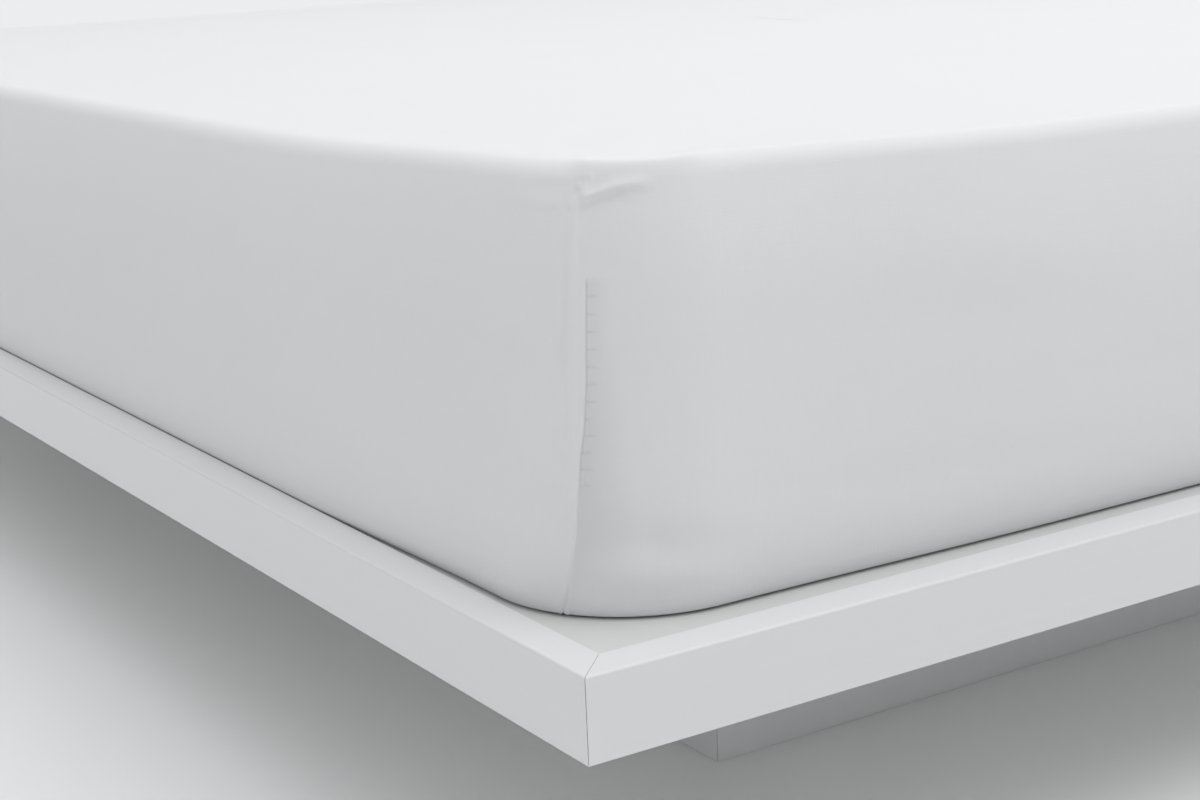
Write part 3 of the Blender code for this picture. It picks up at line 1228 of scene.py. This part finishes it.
@dataclass
class SeamStitches:
    """Short thread stitches across each corner seam, made by Geometry Nodes."""

    sheet: FittedSheet
    pitch: float = 0.0095
    length: float = 0.0032
    thread: float = 0.00032
    low: float = 0.0855
    high: float = 0.1995
    beside: float = 0.0020

    def guide(self, name: str) -> bpy.types.Object:
        """Open lines beside the four seams, which the stitches follow.

        Args:
            name: the object's name.

        Returns:
            The object, whose points say which ways the stitches face.
        """
        points, ups, acrosses, edges = [], [], [], []
        for corner in range(4):
            places, normals, across = self.sheet.seam_guide(corner, self.low, self.high,
                                                            self.beside)
            first = sum(len(part) for part in points)
            edges += [(first + i, first + i + 1) for i in range(len(places) - 1)]
            points.append(places)
            ups.append(normals)
            acrosses.append(across)
        data = bpy.data.meshes.new(name)
        data.from_pydata(np.concatenate(points).tolist(), edges, [])
        for key, values in (("up", ups), ("across", acrosses)):
            layer = data.attributes.new(key, "FLOAT_VECTOR", "POINT")
            layer.data.foreach_set("vector", np.concatenate(values).astype(np.float32).ravel())
        return linked(name, data)

    def node_group(self) -> bpy.types.NodeTree:
        """Lay a row of stitches along each line, across it.

        Returns:
            The Geometry Nodes tree.
        """
        group = bpy.data.node_groups.new("seam_stitches", "GeometryNodeTree")
        face = group.interface
        face.new_socket("Geometry", in_out="INPUT", socket_type="NodeSocketGeometry")
        for key, value in (("Pitch", self.pitch), ("Length", self.length),
                           ("Thread", self.thread)):
            socket = face.new_socket(key, in_out="INPUT", socket_type="NodeSocketFloat")
            socket.default_value = value
        face.new_socket("Material", in_out="INPUT", socket_type="NodeSocketMaterial")
        face.new_socket("Geometry", in_out="OUTPUT", socket_type="NodeSocketGeometry")
        tree = NodeTree(group)
        start, end = tree.add("NodeGroupInput").outputs, tree.add("NodeGroupOutput")
        lines = tree.add("GeometryNodeMeshToCurve", Mesh=start["Geometry"]).outputs[0]
        spaced = tree.add("GeometryNodeResampleCurve", {"mode": "LENGTH"}, Curve=lines,
                          Length=start["Pitch"]).outputs[0]
        bead = tree.add("GeometryNodeMeshUVSphere", Segments=8, Rings=6, Radius=0.5).outputs[0]
        size = tree.add("ShaderNodeCombineXYZ", X=start["Length"], Y=start["Thread"],
                        Z=start["Thread"]).outputs[0]
        stitch = tree.add("GeometryNodeTransform", Geometry=bead, Scale=size).outputs[0]
        turns: object = None
        for axis, key, pivot in (("Z", "up", "AUTO"), ("X", "across", "Z")):
            ways = tree.add("GeometryNodeInputNamedAttribute", {"data_type": "FLOAT_VECTOR"},
                            Name=key).outputs["Attribute"]
            aligned = tree.add("FunctionNodeAlignRotationToVector",
                               {"axis": axis, "pivot_axis": pivot}, Vector=ways)
            if turns is not None:
                tree.feed(aligned, "Rotation", turns)
            turns = aligned.outputs[0]
        row = tree.add("GeometryNodeInstanceOnPoints", Points=spaced, Instance=stitch,
                       Rotation=turns).outputs[0]
        solid = tree.add("GeometryNodeRealizeInstances", Geometry=row).outputs[0]
        dressed = tree.add("GeometryNodeSetMaterial", Geometry=solid,
                           Material=start["Material"]).outputs[0]
        group.links.new(dressed, end.inputs["Geometry"])
        return group

    def build(self, name: str, thread: bpy.types.Material) -> bpy.types.Object:
        """Run the tree on the guide and keep its result as a plain mesh.

        Args:
            name: the object's name.
            thread: the stitches' material.

        Returns:
            The object.
        """
        guide = self.guide(f"{name}_guide")
        modifier = guide.modifiers.new("stitches", "NODES")
        modifier.node_group = self.node_group()
        values = {"Pitch": self.pitch, "Length": self.length, "Thread": self.thread,
                  "Material": thread}
        for item in modifier.node_group.interface.items_tree:
            if item.in_out == "INPUT" and item.name in values:
                modifier[item.identifier] = values[item.name]
        return baked(guide, name)


def baked(maker: bpy.types.Object, name: str) -> bpy.types.Object:
    """Replace an object with a plain one that keeps its evaluated shape.

    Args:
        maker: the object, which is removed.
        name: the new object's name.

    Returns:
        The new object.
    """
    depsgraph = bpy.context.evaluated_depsgraph_get()
    data = bpy.data.meshes.new_from_object(maker.evaluated_get(depsgraph))
    data.name = name
    data.shade_smooth()
    for modifier in list(maker.modifiers):
        maker.modifiers.remove(modifier)
    bpy.data.objects.remove(maker, do_unlink=True)
    return linked(name, data)


@dataclass
class Mattress:
    """The stuffed mattress inside the sheet, a little inside its inner surface."""

    sheet: FittedSheet
    gap: float = 0.001
    every: int = 3

    def build(self, name: str) -> bpy.types.Object:
        """Build the mattress as one closed body with flat faces above and below.

        Args:
            name: the object's name.

        Returns:
            The object.
        """
        levels = self.sheet.levels()
        levels = levels[levels >= 0.0][::self.every]
        points = self.sheet.surface(levels, self.sheet.thickness + self.gap)[0]
        points = points[:, ::self.every]
        rows, columns = points.shape[:2]
        ring = np.arange(columns)
        faces = [tuple(ring[::-1]), *ring_faces(rows, columns),
                 tuple((rows - 1) * columns + ring)]
        return mesh_object(name, points.reshape(-1, 3), faces)


@dataclass
class PlatformBed:
    """The bed's boards, which keep their own solids and get their lacquer here.

    The deck's lacquer is darker and olive, as painted shade, and the plinth's lighter, as
    painted light.
    """

    lacquer: LacquerFinish
    deck_painted_shade_lacquer: LacquerFinish
    plinth_painted_light_lacquer: LacquerFinish
    across: tuple[str, ...] = ("rail_foot", "rail_head", "plinth_foot", "plinth_head")
    lengthwise: tuple[str, ...] = ("rail_left", "rail_right", "plinth_left", "plinth_right")

    def dress(self) -> None:
        """Give every board its lacquer, with the brush marks along its length."""
        finishes = {}
        ways = ((GrainWay.ALONG_X, self.across), (GrainWay.ALONG_Y, self.lengthwise))
        for way, names in ways:
            rail = self.lacquer.material("lacquer_rail", way)
            # The plinth's lighter lacquer is painted light on the board shaded by the ledge.
            plinth = self.plinth_painted_light_lacquer.material("lacquer_plinth_painted_light", way)
            for name in names:
                finishes[name] = plinth if name.startswith("plinth") else rail
        # The deck's darker, olive lacquer is painted shade for the recess under the mattress.
        finishes["deck"] = self.deck_painted_shade_lacquer.material("lacquer_deck_painted_shade", GrainWay.ALONG_Y)
        for name, finish in finishes.items():
            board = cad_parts[name]
            if not board.material_slots:
                board.data.materials.append(finish)
            for place in board.material_slots:
                place.material = finish
            LOG.info("dressed %s", name)


@dataclass(frozen=True)
class Viewpoint:
    """The camera, placed from the outer foot of the near corner of the rails."""

    offset: tuple[float, float, float] = (-0.53489, -0.87373, 0.44560)
    heading: float = math.radians(57.752)
    look_down: float = math.radians(13.5586)
    roll: float = math.radians(-2.3923)
    lens: float = 62.60

    def place(self) -> None:
        """Make the camera and set it as the scene's."""
        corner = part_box("rail_foot")[0]
        forward = Vector((math.cos(self.heading) * math.cos(self.look_down),
                          math.sin(self.heading) * math.cos(self.look_down),
                          -math.sin(self.look_down)))
        level_right = forward.cross(Vector((0.0, 0.0, 1.0))).normalized()
        level_up = level_right.cross(forward)
        right = math.cos(self.roll) * level_right + math.sin(self.roll) * level_up
        up = math.cos(self.roll) * level_up - math.sin(self.roll) * level_right
        data = bpy.data.cameras.new("camera")
        data.sensor_width = 36.0
        data.lens = self.lens
        data.clip_start, data.clip_end = 0.02, 60.0
        camera = linked("camera", data)
        axes = Matrix((right, up, -forward)).transposed().to_4x4()
        camera.matrix_world = Matrix.Translation(corner + Vector(self.offset)) @ axes
        bpy.context.scene.camera = camera


@dataclass(frozen=True)
class Softbox:
    """One large soft lamp."""

    name: str
    place: tuple[float, float, float]
    aim: tuple[float, float, float]
    size: tuple[float, float]
    watts: float
    colour: tuple[float, float, float] = (1.0, 1.0, 1.0)

    def hang(self) -> None:
        """Add the lamp to the scene."""
        data = bpy.data.lights.new(self.name, "AREA")
        data.shape = "RECTANGLE"
        data.size, data.size_y = self.size
        data.energy = self.watts
        data.color = self.colour
        lamp = linked(self.name, data)
        lamp.location = self.place
        lamp.rotation_euler = (Vector(self.aim) - Vector(self.place)).to_track_quat(
            "-Z", "Y").to_euler()


@dataclass
class Studio:
    """A plain pale floor, an even pale surround and soft lamps."""

    floor_radius: float = 7.0
    floor_corners: int = 96
    floor_shade: float = 0.02
    floor_colour: tuple[float, float, float] = (0.93, 0.93, 0.93)
    level_light: float = 0.135
    zenith_light: float = 1.12
    surround_seen: float = 0.86
    surround_colour: tuple[float, float, float, float] = (0.975, 0.992, 1.0, 1.0)
    lamps: tuple[Softbox, ...] = (
        Softbox("lamp_above", (0.1, -0.8, 3.2), (0.0, -0.5, 0.4), (4.0, 4.0), 24.5,
                (1.0, 0.965, 0.97)),
        Softbox("lamp_right", (1.6, -2.0, 3.0), (0.0, -0.9, 0.4), (1.6, 1.6), 14.0),
    )

    def build(self) -> None:
        """Build the floor, the surround and the lamps."""
        turns = np.linspace(0.0, 2 * math.pi, self.floor_corners, endpoint=False)
        rim = np.stack((self.floor_radius * np.cos(turns), self.floor_radius * np.sin(turns),
                        np.full(turns.shape, -0.0002)), axis=-1)
        floor = mesh_object("studio_floor", rim, [tuple(range(self.floor_corners))])
        finish, tree, shader, place = principled("studio_floor")
        cloud = tree.add("ShaderNodeTexNoise", Vector=place, Scale=2.0, Detail=3.0)
        tree.feed(shader, "Base Color", tint(tree, self.floor_colour, cloud.outputs["Fac"],
                                             self.floor_shade))
        shader.inputs["Roughness"].default_value = 0.8
        floor.data.materials.append(finish)
        for lamp in self.lamps:
            lamp.hang()
        self.surround()

    def surround(self) -> None:
        """A surround that lights more strongly from above, and shows as one even tone."""
        world = bpy.data.worlds.new("studio")
        world.use_nodes = True
        bpy.context.scene.world = world
        tree = NodeTree(world.node_tree)
        background = world.node_tree.nodes["Background"]
        background.inputs["Color"].default_value = self.surround_colour
        seen = tree.add("ShaderNodeLightPath").outputs["Is Camera Ray"]
        way = tree.add("ShaderNodeSeparateXYZ",
                       Vector=tree.add("ShaderNodeTexCoord").outputs["Generated"])
        light = tree.band(way.outputs["Z"], 0.0, 1.0, self.level_light, self.zenith_light)
        tree.feed(background, "Strength", tree.mix(seen, light, self.surround_seen))


def main() -> None:
    """Build the pieces in order, dress them and set the studio."""
    logging.basicConfig(level=logging.INFO, format="%(name)s: %(message)s")
    bpy.context.scene.view_settings.view_transform = "Standard"
    Viewpoint().place()
    weave = woven_group()
    sheet = FittedSheet(CoverShape())

    cloth = sheet.build("cotton_sheet")
    cloth.data.materials.append(CottonFinish(weave, seam_group()).material("white_cotton"))
    stitches = SeamStitches(sheet).build("corner_stitches",
                                         ThreadFinish().material("sewing_thread"))
    for piece in (cloth, stitches):
        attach(piece, BODY)
    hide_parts("fitted_sheet")
    LOG.info("built %s with %s", cloth.name, stitches.name)

    mattress = Mattress(sheet).build("stuffed_mattress")
    mattress.data.materials.append(TickingFinish(weave).material("ticking"))
    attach(mattress, BODY)
    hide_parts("mattress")
    LOG.info("built %s", mattress.name)

    brushed = brushed_group()
    # Painted shade: the deck's darker, olive lacquer.
    deck = LacquerFinish(brushed, colour=(0.690, 0.698, 0.688), roughness=0.45)
    # Painted light: the plinth's lighter copy of the rail lacquer.
    plinth = LacquerFinish(brushed, colour=(0.920, 0.923, 0.930))
    PlatformBed(LacquerFinish(brushed), deck, plinth).dress()
    Studio().build()


if __name__ == "__main__":
    main()
